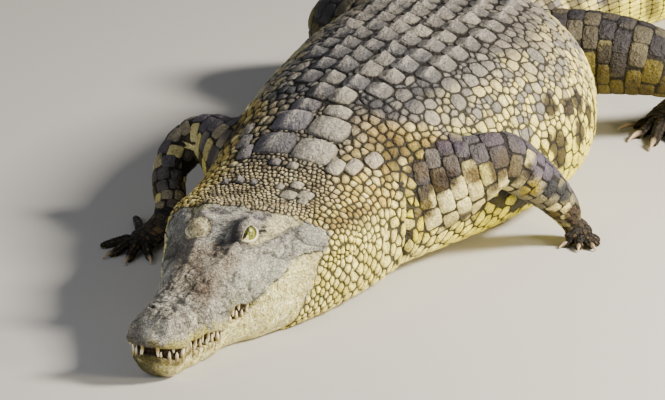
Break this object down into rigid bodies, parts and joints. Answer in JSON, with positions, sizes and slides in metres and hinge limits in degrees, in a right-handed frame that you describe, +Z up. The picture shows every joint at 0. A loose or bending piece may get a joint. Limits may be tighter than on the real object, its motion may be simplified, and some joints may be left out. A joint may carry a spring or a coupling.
{
  "type": "nile crocodile",
  "caption": "Still, life-size Nile crocodile lying flat on its belly, jaws almost closed, legs out to the sides and tail swept to its left.",
  "frame": {"origin": "on the floor, under the middle of the model's bounding box", "axes": "+Z up, +Y from the snout towards the tail, +X towards the animal's left side"},
  "size_m": [1.0826, 3.8846, 0.4396],
  "materials": {
    "hide": "scaly hide, grey-brown above and yellow-cream below, matt to satin",
    "eye": "wet gloss, yellow-green iris with an upright slit pupil",
    "claw": "dark horn with a worn satin surface",
    "tooth": "stained ivory enamel"
  },
  "bodies": {
    "root": {"claw_left_fore_1": "claw", "claw_left_fore_2": "claw", "claw_left_fore_3": "claw", "claw_left_hind_1": "claw", "claw_left_hind_2": "claw", "claw_left_hind_3": "claw", "claw_right_fore_1": "claw", "claw_right_fore_2": "claw", "claw_right_fore_3": "claw", "claw_right_hind_1": "claw", "claw_right_hind_2": "claw", "claw_right_hind_3": "claw", "eye_left": "eye", "eye_right": "eye", "head": "hide", "left_fore_foot": "hide", "left_fore_lower": "hide", "left_fore_upper": "hide", "left_hind_foot": "hide", "left_hind_lower": "hide", "left_hind_upper": "hide", "lower_jaw": "hide", "neck": "hide", "right_fore_foot": "hide", "right_fore_lower": "hide", "right_fore_upper": "hide", "right_hind_foot": "hide", "right_hind_lower": "hide", "right_hind_upper": "hide", "tail_base": "hide", "tail_middle": "hide", "tail_rear": "hide", "tail_tip": "hide", "trunk": "hide"}
  },
  "joints": []
}
